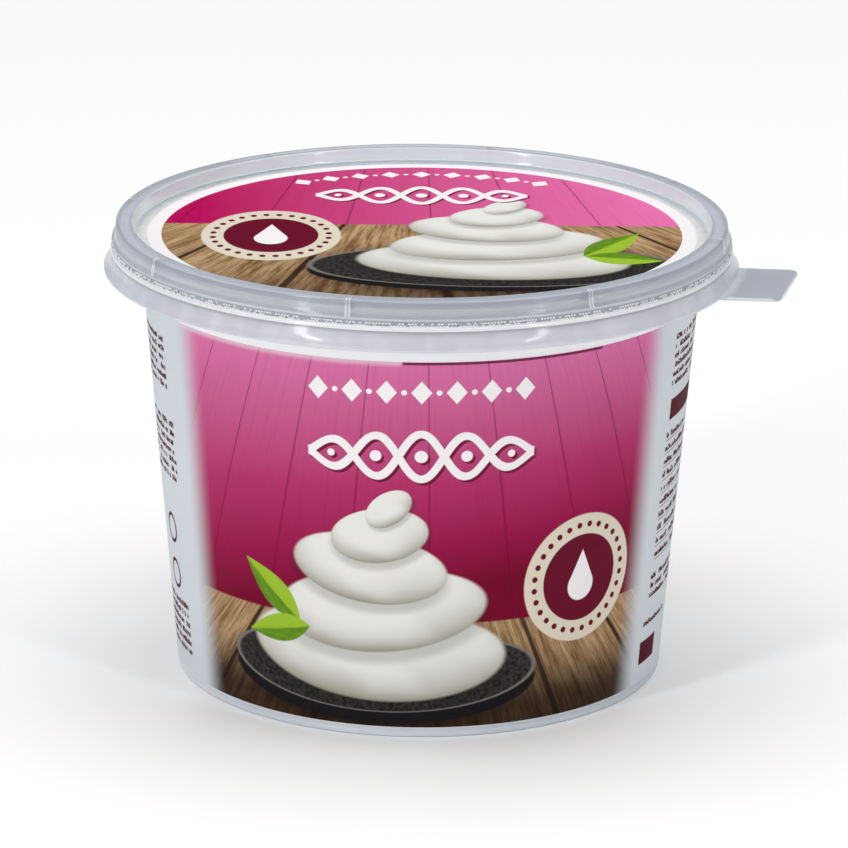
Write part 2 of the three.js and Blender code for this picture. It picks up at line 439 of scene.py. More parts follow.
def lay_tier(paint, ground, x, y, drift, centre, half, turn):
    """One turn of a swirl of fresh cheese, lit from above, with soft folds and its own shadow."""
    along, across = placed(x, y, centre, turn)
    along = along / half[0]
    across = across / half[1]
    reach = along * along + across * across
    under = along * along + (across + 0.24) * (across + 0.24)
    soft = paint.blend(0.3 * paint.step(1.3, 0.8, under), ground, SLATE_DARK)
    crown = paint.math("SQRT", paint.math("MAXIMUM", 1.0 - reach, 0.0))
    fold = paint.math("SINE", along * 4.0 + across * 3.0 + drift * 6.0)
    light = 0.3 + 0.42 * crown + 0.28 * across + 0.08 * fold * crown
    colour = paint.blend(paint.step(0.0, 0.72, light), CREAM_SHADE, CREAM)
    return paint.blend(paint.step(1.05, 0.94, reach), soft, colour)


def lay_swirl(paint, ground, x, y, foot, width):
    """A swirl of fresh cheese in tiers that get smaller towards its bent tip."""
    drift = paint.noise(paint.point(x * 0.08, y * 0.13), 1.0, 1.0)
    for shift, rise, half_width, half_height, turn in SWIRL_TIERS:
        centre = (foot[0] + shift * width, foot[1] + rise * width)
        half = (half_width * width, half_height * width)
        ground = lay_tier(paint, ground, x, y, drift, centre, half, turn)
    return ground


def lay_leaf(paint, ground, x, y, centre, half, turn):
    """A pointed leaf with a pale midrib and a darker half."""
    along, across = placed(x, y, centre, turn)
    along = along / half[0]
    width = half[1] * (1.0 - along * along) * (1.0 - 0.3 * along)
    reach = abs(across) / paint.math("MAXIMUM", width, 0.001)
    inside = paint.step(1.06, 0.92, reach) * paint.step(1.0, 0.97, abs(along))
    veins = paint.noise(paint.point(along * 3.0 + abs(across) * 0.6, across), 1.0, 1.0)
    dark = paint.step(-0.4, 0.5, across) * 0.6 + 0.5 * (veins - 0.5)
    colour = paint.blend(paint.step(0.0, 0.8, dark), LEAF, LEAF_DARK)
    colour = paint.blend(0.6 * paint.step(0.22, 0.08, abs(across)), colour, LEAF)
    return paint.blend(inside, ground, colour)


def lay_badge(paint, ground, x, y, centre, radius):
    """A round badge: cream ring with a circle of beads, and a maroon disc with a white drop."""
    along, across = placed(x, y, centre)
    reach = hypotenuse(paint, along, across) / radius
    bead_pitch = 2 * math.pi / BADGE_BEADS
    cell = paint.math("FLOORED_MODULO", paint.math("ARCTAN2", along, across) / bead_pitch, 1.0)
    bead = hypotenuse(paint, (cell - 0.5) * (bead_pitch * BEAD_RING), reach - BEAD_RING)
    drop_low = across + 0.12 * radius
    bowl = hypotenuse(paint, along, drop_low) / (0.24 * radius)
    taper = (drop_low - 0.06 * radius) / (0.5 * radius)
    tip = abs(along) / (0.235 * radius) + taper
    tip_on = paint.step(1.03, 0.97, tip) * paint.step(-0.02, 0.02, taper)
    drop = paint.math("MAXIMUM", paint.step(1.04, 0.96, bowl), tip_on)
    colour = paint.blend(paint.step(1.01, 0.985, reach), ground, CREAM_PAPER)
    colour = paint.blend(paint.step(0.052, 0.04, bead), colour, MAROON)
    colour = paint.blend(paint.step(0.685, 0.67, reach), colour, MAROON)
    return paint.blend(drop, colour, INK_WHITE)


def plait(paint, x, y, eyes=5, pitch=8.0, swell=4.3):
    """Share of ink of two crossing waves, lower towards their ends, with a dot in each eye."""
    half_length = eyes * pitch / 2
    slim = 1.0 - (x / (half_length * 1.25)) * (x / (half_length * 1.25))
    wave = swell * slim * paint.math("COSINE", x * (math.pi / pitch))
    slope = swell * (math.pi / pitch) * slim * paint.math("SINE", x * (math.pi / pitch))
    gap = abs(abs(y) - abs(wave)) / paint.math("SQRT", 1.0 + slope * slope)
    line = paint.step(0.82, 0.62, gap) * paint.step(half_length + 0.4, half_length, abs(x))
    eye = paint.math("FLOORED_MODULO", x + pitch / 2, pitch) - pitch / 2
    dot = hypotenuse(paint, eye, y) / (1.15 * slim)
    dots = paint.step(1.1, 0.9, dot) * paint.step(half_length, half_length - 0.2, abs(x))
    return paint.math("MAXIMUM", line, dots)


def lozenge_row(paint, along, across, half_length):
    """Share of ink of a row of lozenges with a dot between each two, one lozenge in the middle."""
    pitch = LOZENGE_PITCH
    cell = paint.math("FLOORED_MODULO", along + pitch / 2, pitch) - pitch / 2
    lozenge = abs(cell) / (0.3 * pitch) + abs(across) / (LOZENGE_HEIGHT / 2)
    between = pitch / 2 - abs(cell)
    dot = hypotenuse(paint, between, across) / (0.085 * pitch)
    ink = paint.math("MAXIMUM", paint.step(1.06, 0.94, lozenge), paint.step(1.12, 0.88, dot))
    return ink * paint.step(half_length + 0.1, half_length - 0.1, abs(along))


def lay_ink(paint, ground, ink_of, x, y, drop=0.45):
    """White ink with a thin maroon shadow below and to the right of it."""
    colour = paint.blend(0.9 * ink_of(x - drop, y + drop), ground, MAROON)
    return paint.blend(ink_of(x, y), colour, INK_WHITE)


def small_print(paint, x, y, pitch, tall):
    """Share of ink of grey-text lines: strokes as tall or short as letters, with ragged gaps."""
    row = paint.math("FLOOR", y / pitch)
    stroke = paint.math("FLOOR", x / 0.8)
    draw = paint.node("ShaderNodeTexWhiteNoise", {"noise_dimensions": "2D"},
                      {"Vector": paint.point(stroke, row)})
    height = paint.math("FLOORED_MODULO", y / pitch, 1.0)
    top = tall + 0.16 * paint.step(0.7, 0.72, draw)
    fine = paint.noise(paint.point(x * 3.2, y * 2.2, pitch), 1.0, 1.0)
    return (paint.step(0.14, 0.2, height) * paint.step(0.0, 0.06, top - height)
            * paint.step(0.14, 0.17, draw) * paint.step(0.34, 0.42, fine))


def bar_at(paint, x, y, low, high, left, right):
    """Share of ink of a plain rectangle."""
    return (paint.step(low - 0.06, low + 0.06, y) * paint.step(high + 0.06, high - 0.06, y)
            * paint.step(left - 0.06, left + 0.06, x) * paint.step(right + 0.06, right - 0.06, x))


def highest(paint, *shares):
    top = shares[0]
    for share in shares[1:]:
        top = paint.math("MAXIMUM", top, share)
    return top


def lay_info_panels(paint, ground, x, y):
    """The white side panels: maroon bars, blocks of grey-text lines and a ruled table."""
    blocks = highest(paint, *[bar_at(paint, x, y, *box) for box in TEXT_BLOCKS])
    table = bar_at(paint, x, y, *TABLE_BOX)
    columns = (table * paint.step(4.0, 4.1, abs(x - TABLE_GAP))
               * paint.step(TABLE_TEXT_END, TABLE_TEXT_END - 0.1, x))
    rules = abs(paint.math("FLOORED_MODULO", y + TABLE_ROW / 2, TABLE_ROW) - TABLE_ROW / 2)
    from_ring = hypotenuse(paint, x - RINGS_MIDDLE[0], abs(y - RINGS_MIDDLE[1]) - RINGS_OFFSET)
    ink = highest(
        paint,
        blocks * small_print(paint, x, y, LINE_PITCH, 0.66),
        columns * small_print(paint, x, y - 0.1, TABLE_ROW, 0.5),
        0.7 * table * paint.step(0.15, 0.05, rules),
        *[bar_at(paint, x, y, *bar) for bar in TITLE_BARS],
        paint.step(0.42, 0.28, abs(from_ring - RINGS_RADIUS)))
    return paint.blend(ink, ground, MAROON_DARK)


def still_life(paint, boards, x, y, horizon, depth, slab, swirl, leaves, badge, plait_height):
    """The picture: a plank table before the boards, with a slab, a swirl, leaves, badge and plait."""
    table = planks(paint, x, y, horizon, depth)
    picture = paint.blend(paint.step(horizon + 0.2, horizon - 0.2, y), boards, table)
    picture = lay_slab(paint, picture, x, y, **slab)
    picture = lay_swirl(paint, picture, x, y, **swirl)
    for leaf in leaves:
        picture = lay_leaf(paint, picture, x, y, **leaf)
    picture = lay_badge(paint, picture, x, y, **badge)
    return lay_ink(paint, picture, lambda a, b: plait(paint, a, b), x, y - plait_height)


def film_print():
    paint = Paint("printed_film")
    height = paint.z / MM
    angle = paint.math("ARCTAN2", paint.x, 0.0 - paint.y) * (180 / math.pi)
    turned = paint.math("FLOORED_MODULO", angle + 90.0, 180.0) - 90.0
    x = turned * (PRINT_RADIUS * math.pi / 180)
    rise = height - TONES_SLANT * x * (TONES_LEVEL - height)
    boards = lay_boards(paint, graded(paint, rise, FILM_TONES), x, height)
    picture = still_life(paint, boards, x, height, **FILM_PICTURE)
    picture = lay_ink(paint, picture, lambda a, b: lozenge_row(paint, a, b, FILM_ROW_HALF),
                      x, height - FILM_ROW_LEVEL, 0.0)
    head = FILM_HEAD / MM
    trim = bar_at(paint, x, height, head - 0.55, head - 0.08, TRIM_START, TRIM_END)
    picture = paint.blend(0.85 * trim, picture, MAROON_DARK)
    glow = paint.step(head - 1.3, head, height) * paint.step(TRIM_START, TRIM_START - 0.6, x)
    picture = paint.blend(0.5 * glow, picture, INK_WHITE)
    inside = paint.step(PANEL_END, PANEL_FULL, abs(turned))
    tone = paint.noise(paint.place, 25.0, 2.0)
    bare = paint.blend(tone, FILM_WHITE, FILM_WHITE_COOL)
    around = angle * (PRINT_RADIUS * math.pi / 180)
    bare = lay_info_panels(paint, bare, around, height)
    colour = paint.blend(inside, bare, picture)
    return paint.done(paint.surface(
        base_color=colour,
        roughness=0.34 + 0.1 * tone,
        specular_ior_level=0.0,
        coat_weight=0.12,
        coat_roughness=0.22))


def film_profile():
    rise = FILM_HEAD - FILM_FOOT
    outside = [(wall_radius(FILM_FOOT + rise * k / 12), FILM_FOOT + rise * k / 12) for k in range(13)]
    back = 0.15 * MM
    return [*outside, (wall_radius(FILM_HEAD) - back, FILM_HEAD),
            (wall_radius(FILM_FOOT) - back, FILM_FOOT)]


film = finished("printed_film", turned_mesh("printed_film", film_profile()), film_print())
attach(film, "root")
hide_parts("label")

# The seal. A printed film is welded across the rim: a magenta picture with a white edge, and
# outside it a bare white ring that puckers a little where the welding ring pressed it.
seal_low, seal_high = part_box("seal")
SEAL_RADIUS = seal_high.x
PICTURE_RADIUS = 48.4  # millimetres
PICTURE_SHIFT = 1.5  # towards the back
WHITE_EDGE = 50.9
SEAL_MAGENTA = screen(186, 8, 90)
SEAL_MAGENTA_REFLECTION_PALE = screen(238, 118, 180)
SEAL_BARE = screen(228, 228, 227)
SEAL_BARE_CREASE_SHADE = screen(211, 212, 215)
# Paler to the right: a painted reflection of a soft light in the clear panel, over the seal's magenta
# print.
SEAL_TONES_WITH_REFLECTION = ((-42.0, SEAL_MAGENTA), (45.0, SEAL_MAGENTA_REFLECTION_PALE))  # from left to right
SEAL_STRETCH = 1.35  # the picture is drawn long, so that it looks right from the front
SEAL_BOARDS_SHIFT = 20.0
SEAL_ROW_RADIUS = 43.0
SEAL_ROW_HALF = 26.3
SEAL_PICTURE = {
    "horizon": 4.0,
    "depth": 60.0,
    "slab": {"centre": (13.0, -17.0), "half": (34.0, 10.5)},
    "swirl": {"foot": (13.0, -23.0), "width": 50.0},
    "leaves": ({"centre": (35.0, -6.0), "half": (8.0, 3.1), "turn": 48.0},
               {"centre": (37.0, -13.0), "half": (7.2, 2.9), "turn": -8.0}),
    "badge": {"centre": (-28.0, -2.0), "radius": 13.0},
    "plait_height": 20.0,
}


def seal_print():
    paint = Paint("printed_seal")
    x = paint.x / MM
    y = paint.y / MM - PICTURE_SHIFT
    reach = hypotenuse(paint, x, y)
    level = y / SEAL_STRETCH
    boards = lay_boards(paint, graded(paint, x, SEAL_TONES_WITH_REFLECTION), x, level + SEAL_BOARDS_SHIFT)
    picture = still_life(paint, boards, x, level, **SEAL_PICTURE)
    row = lozenge_row(paint, paint.math("ARCTAN2", x, y) * SEAL_ROW_RADIUS,
                      reach - SEAL_ROW_RADIUS, SEAL_ROW_HALF)
    picture = paint.blend(row, picture, INK_WHITE)
    turn = paint.math("ARCTAN2", y, x)
    pucker = paint.noise(paint.point(paint.math("COSINE", turn) * 26.0,
                                     paint.math("SINE", turn) * 26.0, reach * 0.12), 1.0, 2.0)
    outside = paint.step(WHITE_EDGE - 0.1, WHITE_EDGE + 0.5, reach)
    # Painted shade: the bare ring is darker along its puckers.
    bare = paint.blend(0.7 * paint.step(0.35, 0.75, pucker), SEAL_BARE, SEAL_BARE_CREASE_SHADE)
    colour = paint.blend(paint.step(PICTURE_RADIUS - 0.05, PICTURE_RADIUS + 0.05, reach),
                         picture, INK_WHITE)
    colour = paint.blend(outside, colour, bare)
    return paint.done(paint.surface(
        base_color=colour,
        roughness=0.5,
        specular_ior_level=0.0,
        normal=paint.bump(pucker * outside, 0.25 * MM, 0.8)))


def seal_profile():
    top = seal_high.z - 0.02 * MM
    return [(0, seal_low.z), (SEAL_RADIUS, seal_low.z), (SEAL_RADIUS, top),
            *[(SEAL_RADIUS * k / 8, top) for k in range(7, 0, -1)], (0, top)]


seal = finished("printed_seal", turned_mesh("printed_seal", seal_profile()), seal_print())
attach(seal, "root")
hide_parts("seal")

# The lid. One thin skin of unpigmented polypropylene, clear in its flat panel and milky where it
# is drawn up into the hollow ring and down into the skirt, with ribs, knurling and a pull tab.
lid_low, lid_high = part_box("lid")
LID_WALL = 0.6 * MM
RING_TOP = lid_high.z
SKIRT_RADIUS = -lid_low.x
SKIRT_LIP_HEIGHT = lid_low.z
PANEL_TOP = seal_high.z + LID_WALL
PANEL_FILLET = 0.5 * MM
RECESS_FOOT_RADIUS = 53.4 * MM
RECESS_MOUTH_RADIUS = 53.65 * MM
RING_RADIUS = 56.75 * MM
RING_ROUND = 0.5 * MM
RING_FOOT = (57.05 * MM, 82.9 * MM)
STEP = (57.5 * MM, 82.3 * MM)
LEDGE = (57.58 * MM, 80.85 * MM)
LEDGE_EDGE = (57.74 * MM, 80.6 * MM)
GROOVE_MIDDLE = 80.1 * MM
GROOVE_FOOT = 79.7 * MM
FLARE_START = (57.95 * MM, 78.75 * MM)
FLARE = (58.3 * MM, 77.9 * MM)
WIDEST = (SKIRT_RADIUS, 77.15 * MM)
SKIRT_FOOT = (SKIRT_RADIUS, SKIRT_LIP_HEIGHT)
RIB_COUNT = 8
RIB_THICKNESS = 0.36 * MM
RIB_ROOT = 0.62 * MM  # thickness where it meets the ring's walls
KNURL_COUNT = 620
KNURL_ROWS = 2
KNURL_PITCH = 0.42 * MM  # from row to row
KNURL_TOP = 81.66 * MM
KNURL_HEIGHT = 0.15 * MM
KNURL_FACE = STEP[0] - 0.06 * MM  # radius of the flat that they stand on
KNURL_SIDES = 6
TAB_ANGLE = math.radians(-13.4)
TAB_RISE = math.radians(2.1)
TAB_WIDTH = 20.8 * MM
TAB_REACH = 69.4 * MM
TAB_CORNER = 2.8 * MM
TAB_ROOT_RADIUS = 58.6 * MM
TAB_THICKNESS = 0.6 * MM
LID_TINT = screen(215, 219, 229)
LID_TINT_PALE = screen(227, 230, 237)
LID_PAINTED_HIGHLIGHT = screen(250, 251, 253)
LID_INNER_PAINTED_LIGHT = screen(240, 251, 254)
LID_PAINTED_SHADE = screen(146, 149, 160)
CLEAR = (0.0, 0.0, 0.0, 1.0)  # the clear panel shows nothing of its own but its gloss
# Painted highlights and painted shade: bands round the skin that are painted paler or darker:
# middle height, half height and soft edge in millimetres, and strength.
WALL_HEAD_DARK = (84.9, 0.3, 0.6, 0.5)
WALL_MIDDLE_PALE = (83.5, 0.15, 0.4, 0.45)
WALL_FOOT_DARK = (82.75, 0.15, 0.2, 0.15)
STEP_PALE = (82.28, 0.1, 0.12, 0.8)
UNDER_STEP_DARK = (81.88, 0.08, 0.12, 0.35)
LEDGE_PALE = (80.76, 0.36, 0.16, 1.0)
GROOVE_DARK = (80.05, 0.15, 0.2, 0.3)
FLARE_DARK = (77.55, 0.2, 0.3, 0.12)
LIP_PALE = (77.0, 0.08, 0.12, 0.7)


def lid_plastic(name, roughness, glints=0.0):
    """Clear in the panel and milky elsewhere, most where the skin is thick and under painted highlights;
    its colour carries painted highlights and painted shade, and glints whitens knurls with painted
    glints.
    """
    paint = Paint(name)
    reach = hypotenuse(paint, paint.x, paint.y) / MM
    height = paint.z / MM
    angle = paint.math("ARCTAN2", paint.y, paint.x)
    along, across = placed(paint.x / MM, paint.y / MM, (0.0, 0.0), math.degrees(TAB_ANGLE))
    foot, mouth, ring = [r / MM for r in (RECESS_FOOT_RADIUS, RECESS_MOUTH_RADIUS, RING_RADIUS)]
    ring_low, step_at, ledge_at = [z / MM for _, z in (RING_FOOT, STEP, LEDGE_EDGE)]
    ring_high, tab_half = RING_TOP / MM, TAB_WIDTH / MM / 2

    def band(middle, half, soft, strength):
        return strength * paint.step(half + soft, half, abs(height - middle))

    # Masks of the lid's places.
    panel = paint.step(foot + 0.05, foot - PANEL_FILLET / MM, reach)
    inner = (paint.step(mouth + 0.3, mouth + 0.05, reach)
             * paint.step(step_at - 0.6, step_at - 0.4, height))
    outer = paint.step(ring - 1.15, ring - 0.55, reach)
    wall = (outer * paint.step(ring_low + 0.1, ring_low + 0.5, height)
            * paint.step(ring_high - 0.26, ring_high - 0.96, height))
    tab = paint.step(SKIRT_RADIUS / MM + 0.2, SKIRT_RADIUS / MM + 2.0, reach)
    tab_edge = highest(paint, paint.step(TAB_REACH / MM - 0.4, TAB_REACH / MM - 0.1, along),
                       paint.step(tab_half - 0.5, tab_half - 0.2, abs(across)))
    skirt = paint.step(ledge_at - 0.2, ledge_at - 1.0, height) * (1.0 - tab)

    # A rib shows through the ring as two pale lines, one along each of its faces: painted light on the
    # skin, which is also made milkier there.
    rib_pitch = 2 * math.pi / RIB_COUNT
    turn = angle - TAB_ANGLE + math.pi / RIB_COUNT
    from_rib = abs(paint.math("FLOORED_MODULO", turn, rib_pitch) - rib_pitch / 2) * reach
    rib_sides = paint.step(0.52, 0.4, from_rib) * (1.0 - 0.6 * paint.step(0.26, 0.14, from_rib))
    rib_mark = (rib_sides * paint.step(step_at + 0.05, step_at + 0.3, height)
                * (0.2 + 0.8 * outer) * (1.0 - panel))

    # Each knurl draws its own number, by its row and its place round the skirt; the higher numbers give
    # the knurl a painted glint.
    row = paint.step(0.0, 0.01, KNURL_TOP / MM - KNURL_PITCH / MM / 2 - height)
    knurl = paint.math("FLOOR", angle * (KNURL_COUNT / (2 * math.pi)) + 0.5 - 0.5 * row)
    draw = paint.node("ShaderNodeTexWhiteNoise", {"noise_dimensions": "2D"},
                      {"Vector": paint.point(knurl, row)})
    # Painted highlights on the ledge and the knurls, with the rib lines: paler, milkier and less
    # translucent there.
    highlights_and_thick_skin = highest(paint, band(*LEDGE_PALE), rib_mark, glints * paint.step(0.3, 0.4, draw))

    cloud = paint.noise(paint.place, 60.0, 1.0)
    # Streaks round the lid: painted streaks of light on the skirt and painted darker patches of
    # reflection on the ring's wall.
    streak = paint.noise(paint.point(paint.math("COSINE", angle) * 12.0,
                                     paint.math("SINE", angle) * 12.0, height * 0.12), 1.0, 1.0)
    # Painted highlights: the ledge, the glints, the rib lines, bands on the wall and the lip, the tab's
    # edges, and a paler skirt with streaks of light.
    pale = highest(
        paint, highlights_and_thick_skin,
        band(*WALL_MIDDLE_PALE) * outer, band(*STEP_PALE) * outer,
        band(*LIP_PALE) * (1.0 - tab), 0.9 * tab * tab_edge,
        skirt * (0.35 + 0.35 * paint.step(0.3, 0.8, streak)))
    # Painted shade: darker bands on the ring's wall, under the step, in the groove and on the flare,
    # darker patches of reflection on the wall, and the tab's darker middle.
    dark = highest(
        paint,
        band(*WALL_HEAD_DARK) * outer, band(*WALL_FOOT_DARK) * outer,
        band(*UNDER_STEP_DARK) * outer * (1.0 - glints), band(*GROOVE_DARK),
        0.22 * wall * paint.step(0.5, 0.75, streak),
        band(*FLARE_DARK) * (1.0 - tab), 0.6 * tab * (1.0 - tab_edge))
    colour = paint.blend(cloud, LID_TINT, LID_TINT_PALE)
    colour = paint.blend(pale, colour, LID_PAINTED_HIGHLIGHT)
    colour = paint.blend(dark, colour, LID_PAINTED_SHADE)
    # The ring's inner wall is painted paler: painted light.
    colour = paint.blend(0.9 * inner, colour, LID_INNER_PAINTED_LIGHT)
    colour = paint.blend(paint.step(0.9, 1.0, panel), colour, CLEAR)
    milk = highest(paint, 0.4 * pale, 0.5 * inner) + 0.3 * dark + 0.15 * tab + 0.16 * skirt
    milk = (milk + 0.2 * highlights_and_thick_skin + 0.3 + 0.08 * cloud) * (1.0 - panel)
    gloss = paint.node("ShaderNodeFresnel", None, {"IOR": 1.45})
    skin = paint.surface(
        base_color=colour,
        roughness=roughness + 0.25 * panel,
        specular_ior_level=0.7)
    through = paint.node("ShaderNodeBsdfTranslucent", None, {"Color": LID_TINT_PALE})
    share = (0.35 - highest(paint, 0.32 * inner, 0.25 * highlights_and_thick_skin)) * (1.0 - panel)
    body = paint.node("ShaderNodeMixShader", None, {0: share, 1: skin, 2: through})
    clear = paint.node("ShaderNodeBsdfTransparent")
    seen = milk + (1.0 - milk) * gloss * (1.0 - 0.9 * panel)
    return paint.done(paint.node("ShaderNodeMixShader", None, {0: seen, 1: clear, 2: body}))


def lid_skin():
    """The lid's outline from its middle to its foot, without the fine mouldings of the skirt."""
    below = RING_TOP - RING_ROUND
    foot, mouth = RECESS_FOOT_RADIUS, RECESS_MOUTH_RADIUS
    return [
        (0, PANEL_TOP),
        *bend((foot - PANEL_FILLET, PANEL_TOP), (foot, PANEL_TOP), (foot, PANEL_TOP + PANEL_FILLET)),
        *bend((mouth, below), (mouth, RING_TOP), (mouth + RING_ROUND, RING_TOP)),
        *bend((RING_RADIUS - RING_ROUND, RING_TOP), (RING_RADIUS, RING_TOP), (RING_RADIUS, below)),
        RING_FOOT,
        STEP,
        LEDGE,
        LEDGE_EDGE,
        *bend(FLARE_START, FLARE, WIDEST, 8),
        SKIRT_FOOT,
    ]


def fine_skin():
    """The same outline with a soft step, a bead, a flat for the knurls, a ledge and a groove."""
    skin = lid_skin()
    above, below = skin[:skin.index(RING_FOOT)], skin[skin.index(LEDGE_EDGE) + 1:-1]
    r, z = RING_FOOT
    mouldings = [
        *bend((r - 0.06 * MM, z + 0.5 * MM), (r, z - 0.15 * MM), (r + 0.2 * MM, z - 0.38 * MM), 4),
        *bend((STEP[0] - 0.14 * MM, STEP[1] + 0.12 * MM), (STEP[0] + 0.04 * MM, STEP[1] + 0.1 * MM),
              (STEP[0] + 0.02 * MM, STEP[1] - 0.12 * MM), 4),
        (KNURL_FACE, STEP[1] - 0.3 * MM),
        (KNURL_FACE + 0.02 * MM, LEDGE[1] + 0.14 * MM),
        *bend((LEDGE[0] - 0.04 * MM, LEDGE[1] + 0.06 * MM), (LEDGE_EDGE[0], LEDGE[1] - 0.02 * MM),
              (LEDGE_EDGE[0] + 0.02 * MM, LEDGE_EDGE[1] - 0.1 * MM), 4),
        *bend((LEDGE_EDGE[0], LEDGE_EDGE[1] - 0.2 * MM), (LEDGE_EDGE[0] - 0.12 * MM, GROOVE_MIDDLE),
              (LEDGE_EDGE[0] + 0.06 * MM, GROOVE_FOOT), 4),
    ]
    round_foot = bend((SKIRT_RADIUS, SKIRT_LIP_HEIGHT + 0.14 * MM), SKIRT_FOOT,
                      (SKIRT_RADIUS - 0.14 * MM, SKIRT_LIP_HEIGHT), 3)
    return [*above, *mouldings, *below, *round_foot]


def offset_outline(outline, distance):
    """The outline moved sideways, to the right of its direction of travel."""
    normals = []
    for (r0, z0), (r1, z1) in zip(outline, outline[1:]):
        length = math.hypot(r1 - r0, z1 - z0)
        normals.append(((z1 - z0) / length, (r0 - r1) / length))
    moved = []
    for i, (radius, height) in enumerate(outline):
        before = normals[max(i - 1, 0)]
        after = normals[min(i, len(normals) - 1)]
        scale = distance / (1 + before[0] * after[0] + before[1] * after[1])
        moved.append((radius + (before[0] + after[0]) * scale,
                      height + (before[1] + after[1]) * scale))
    return moved


def lid_profile():
    return [*fine_skin(), *reversed(offset_outline(lid_skin(), LID_WALL))]


def tab_mesh():
    """A flat tongue with round corners and softened edges that rises a little outwards."""
    half = TAB_WIDTH / 2
    root_turn = math.asin(half / TAB_ROOT_RADIUS)
    outline = [
        *bend((TAB_REACH - TAB_CORNER, -half), (TAB_REACH, -half), (TAB_REACH, TAB_CORNER - half), 8),
        *bend((TAB_REACH, half - TAB_CORNER), (TAB_REACH, half), (TAB_REACH - TAB_CORNER, half), 8),
        *[(TAB_ROOT_RADIUS * math.cos(root_turn * k / 8), TAB_ROOT_RADIUS * math.sin(root_turn * k / 8))
          for k in range(8, -9, -1)],
    ]
    mesh = bmesh.new()
    foot_ring = [mesh.verts.new((u - TAB_ROOT_RADIUS, v, 0)) for u, v in outline]
    raised = bmesh.ops.extrude_face_region(mesh, geom=[mesh.faces.new(foot_ring)])
    lifted = [v for v in raised["geom"] if isinstance(v, bmesh.types.BMVert)]
    bmesh.ops.translate(mesh, verts=lifted, vec=(0, 0, TAB_THICKNESS))
    rims = [e for e in mesh.edges
            if abs(e.verts[0].co.z - e.verts[1].co.z) < 1e-7 and max(v.co.x for v in e.verts) > 0.1 * MM]
    bmesh.ops.bevel(mesh, geom=rims, offset=0.16 * MM, segments=3, affect="EDGES")
    bmesh.ops.recalc_face_normals(mesh, faces=mesh.faces)
    mesh.transform(
        Matrix.Rotation(TAB_ANGLE, 4, "Z")
        @ Matrix.Translation((TAB_ROOT_RADIUS, 0, SKIRT_LIP_HEIGHT))
        @ Matrix.Rotation(-TAB_RISE, 4, "Y"))
    data = bpy.data.meshes.new("lid_tab")
    mesh.to_mesh(data)
    mesh.free()
    return data


def modified(data, add_modifier):
    """The mesh after a modifier, which add_modifier puts on an object that holds it for a while."""
    holder = bpy.data.objects.new("holder", data)
    bpy.context.scene.collection.objects.link(holder)
    add_modifier(holder)
    graph = bpy.context.evaluated_depsgraph_get()
    result = bpy.data.meshes.new_from_object(holder.evaluated_get(graph))
    bpy.data.objects.remove(holder)
    return result


def joined(data, other):
    """Both meshes as one closed body."""
    guest = bpy.data.objects.new("guest", other)
    bpy.context.scene.collection.objects.link(guest)

    def add_union(holder):
        union = holder.modifiers.new("union", "BOOLEAN")
        union.operation = "UNION"
        union.solver = "EXACT"
        union.object = guest

    result = modified(data, add_union)
    bpy.data.objects.remove(guest)
    return result


def rib_mesh():
    """One rib at +X: an upright plate across the hollow ring, thicker where it meets the walls."""
    wall = 0.3 * MM
    foot, head = RING_FOOT[1], RING_TOP - 0.35 * MM
    inner = (RECESS_FOOT_RADIUS + wall, RECESS_MOUTH_RADIUS + wall)
    outer = (RING_FOOT[0] - wall, RING_RADIUS - wall)
    plan = [(0.0, RIB_ROOT), (0.22, RIB_THICKNESS), (0.78, RIB_THICKNESS), (1.0, RIB_ROOT)]
    plan = plan + [(share, -width) for share, width in reversed(plan)]
    rings = []
    mesh = bmesh.new()
    for height, start, end in ((foot, inner[0], outer[0]), (head, inner[1], outer[1])):
        rings.append([mesh.verts.new((start + share * (end - start), width / 2, height))
                      for share, width in plan])
    for k in range(len(plan)):
        n = (k + 1) % len(plan)
        mesh.faces.new([rings[0][k], rings[0][n], rings[1][n], rings[1][k]])
    for ring in rings:
        mesh.faces.new(ring)
    bmesh.ops.recalc_face_normals(mesh, faces=mesh.faces)
    data = bpy.data.meshes.new("lid_rib")
    mesh.to_mesh(data)
    mesh.free()
    return data


def knurl_mesh():
    """One knurl at +X: a small dome let into the skirt, so that it catches a point of light."""
    half_width = math.pi * STEP[0] / KNURL_COUNT * 0.9
    half_height = KNURL_PITCH * 0.48
    root = STEP[0] - 0.16 * MM
    mesh = bmesh.new()
    rings = []
    for share, out in ((1.0, root), (1.0, KNURL_FACE), (0.72, KNURL_FACE + 0.6 * KNURL_HEIGHT),
                       (0.34, KNURL_FACE + 0.93 * KNURL_HEIGHT)):
        angles = [2 * math.pi * k / KNURL_SIDES for k in range(KNURL_SIDES)]
        rings.append([mesh.verts.new((out, share * half_width * math.cos(a),
                                      KNURL_TOP + share * half_height * math.sin(a)))
                      for a in angles])
    for lower, upper in zip(rings, rings[1:]):
        for k in range(KNURL_SIDES):
            n = (k + 1) % KNURL_SIDES
            mesh.faces.new([lower[k], lower[n], upper[n], upper[k]])
    mesh.faces.new(rings[0])
    tip = mesh.verts.new((KNURL_FACE + KNURL_HEIGHT, 0, KNURL_TOP))
    for k in range(KNURL_SIDES):
        mesh.faces.new([rings[-1][k], rings[-1][(k + 1) % KNURL_SIDES], tip])
    bmesh.ops.recalc_face_normals(mesh, faces=mesh.faces)
    data = bpy.data.meshes.new("lid_knurl")
    mesh.to_mesh(data)
    mesh.free()
    return data


